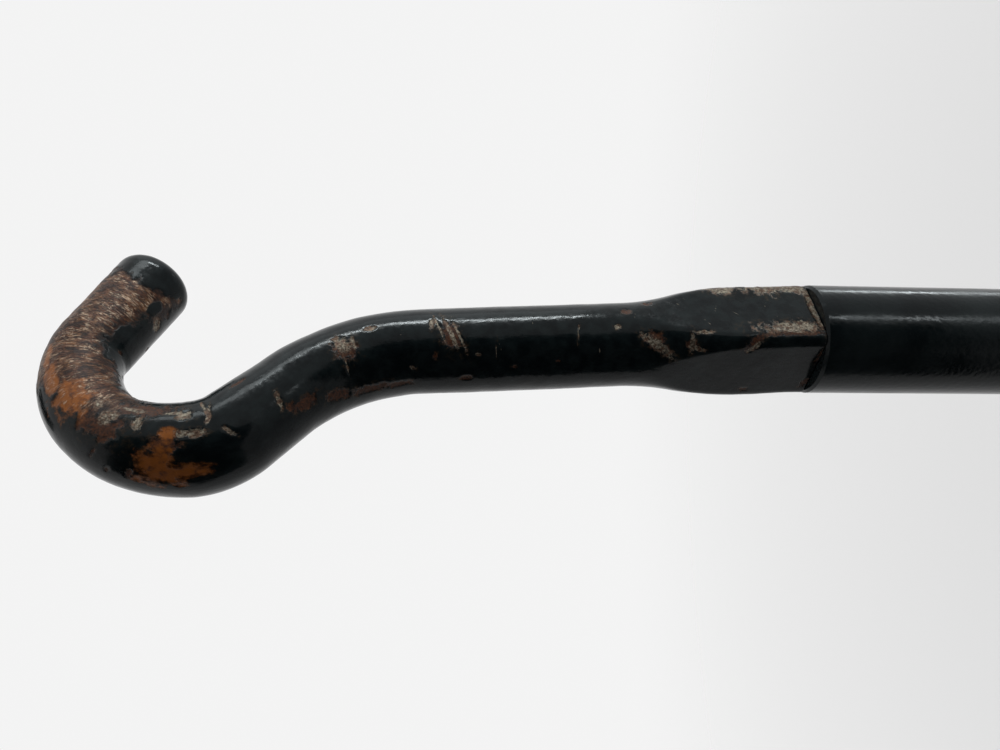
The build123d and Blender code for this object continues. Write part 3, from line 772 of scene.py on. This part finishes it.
def make_floor():
    """A pale round floor that fades into the background far from the bolt."""
    mesh = bpy.data.meshes.new("floor")
    z = cad_low.z - FLOOR_DROP
    turns = [2 * math.pi * step / FLOOR_SIDES for step in range(FLOOR_SIDES)]
    rim = [(FLOOR_RADIUS * math.cos(turn), FLOOR_RADIUS * math.sin(turn), z) for turn in turns]
    mesh.from_pydata(rim, [], [range(FLOOR_SIDES)])
    floor = new_object("floor", mesh)
    m = Nodes("pale_floor")
    m.finish(color=(0.88, 0.88, 0.88, 1), roughness=0.9)
    m.shader.inputs["Specular IOR Level"].default_value = 0.0
    away = m.node("ShaderNodeVectorMath", {"operation": "LENGTH"})
    m.put(away.inputs[0], m.place())
    faded = m.ramp(away.outputs["Value"], *FLOOR_FADE)
    clear = m.node("ShaderNodeBsdfTransparent")
    both = m.node("ShaderNodeMixShader")
    m.put(both.inputs[0], faded)
    m.put(both.inputs[1], m.shader.outputs[0])
    m.put(both.inputs[2], clear.outputs[0])
    m.put(m.tree.nodes["Material Output"].inputs["Surface"], both.outputs[0])
    floor.data.materials.append(m.material)


def round_the_bolt(angle, distance, z):
    """A point beside the bolt: the angle runs from the camera's side towards the picture's top."""
    back = -VIEW_DIRECTION.normalized()
    up = (VIEW_UP - back * VIEW_UP.dot(back)).normalized()
    turned = math.radians(angle)
    way = back * math.cos(turned) + up * math.sin(turned)
    spot = Vector((AXIS_X, AXIS_Y, 0.0)) + Vector((way.x, way.y, 0.0)).normalized() * distance
    return Vector((spot.x, spot.y, z))


def strip_light(name, angle, width, low_z, high_z, power):
    """An upright soft strip beside the bolt."""
    middle = (low_z + high_z) / 2
    spot = round_the_bolt(angle, LIGHT_DISTANCE, middle)
    data = bpy.data.lights.new(name, "AREA")
    data.shape = "RECTANGLE"
    data.size, data.size_y = width, high_z - low_z
    data.energy = power
    data.spread = LIGHT_SPREAD
    data.color = LIGHT_TINT
    light = bpy.data.objects.new(name, data)
    bpy.context.scene.collection.objects.link(light)
    light.location = spot
    facing = Vector((AXIS_X, AXIS_Y, middle)) - spot
    light.rotation_euler = facing.to_track_quat("-Z", "Y").to_euler()
    light.visible_camera = False


def dark_card(name, angle):
    """An upright black card: the paint mirrors it and stays dark on that side."""
    mesh = bpy.data.meshes.new(name)
    half, low, high = CARD_WIDTH / 2, CARD_FOOT, CARD_FOOT + CARD_HEIGHT
    corners = [(-half, 0, low), (half, 0, low), (half, 0, high), (-half, 0, high)]
    mesh.from_pydata(corners, [], [(0, 1, 2, 3)])
    card = new_object(name, mesh)
    spot = round_the_bolt(angle, CARD_DISTANCE, 0.0)
    facing = Vector((AXIS_X - spot.x, AXIS_Y - spot.y, 0.0))
    card.location = spot
    card.rotation_euler = facing.to_track_quat("Y", "Z").to_euler()
    m = Nodes(name + "_black")
    m.shader.inputs["Specular IOR Level"].default_value = 0.0
    card.data.materials.append(m.finish(color=(0.01, 0.01, 0.01, 1), roughness=1.0))
    card.visible_camera = False


def make_lights():
    """A pale surround, strips that the paint mirrors as thin lines, and two black cards."""
    world = bpy.data.worlds.new("studio")
    world.use_nodes = True
    background = world.node_tree.nodes["Background"]
    background.inputs["Color"].default_value = (WORLD_GREY,) * 3 + (1,)
    background.inputs["Strength"].default_value = 1.0
    bpy.context.scene.world = world
    strip_light("neck_strip", 84, 0.022, 0.10, 0.27, 0.23)
    strip_light("neck_glow", 104, 0.12, 0.10, 0.42, 0.035)
    strip_light("crook_glow", 84, 0.07, 0.27, 0.42, 0.08)
    strip_light("shank_upper_strip", 121, 0.03, -0.20, -0.055, 0.085)
    strip_light("shank_front_strip", 44, 0.012, -0.20, -0.055, 0.12)
    dark_card("card_behind_camera", 0)
    dark_card("card_at_side", -50)


handle = make_handle()
handle.data.materials.append(handle_material())
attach(handle, "bolt_body")
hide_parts("hook_handle")
dress_all()
make_floor()
make_camera()
make_lights()
bpy.context.scene.view_settings.view_transform = "Standard"
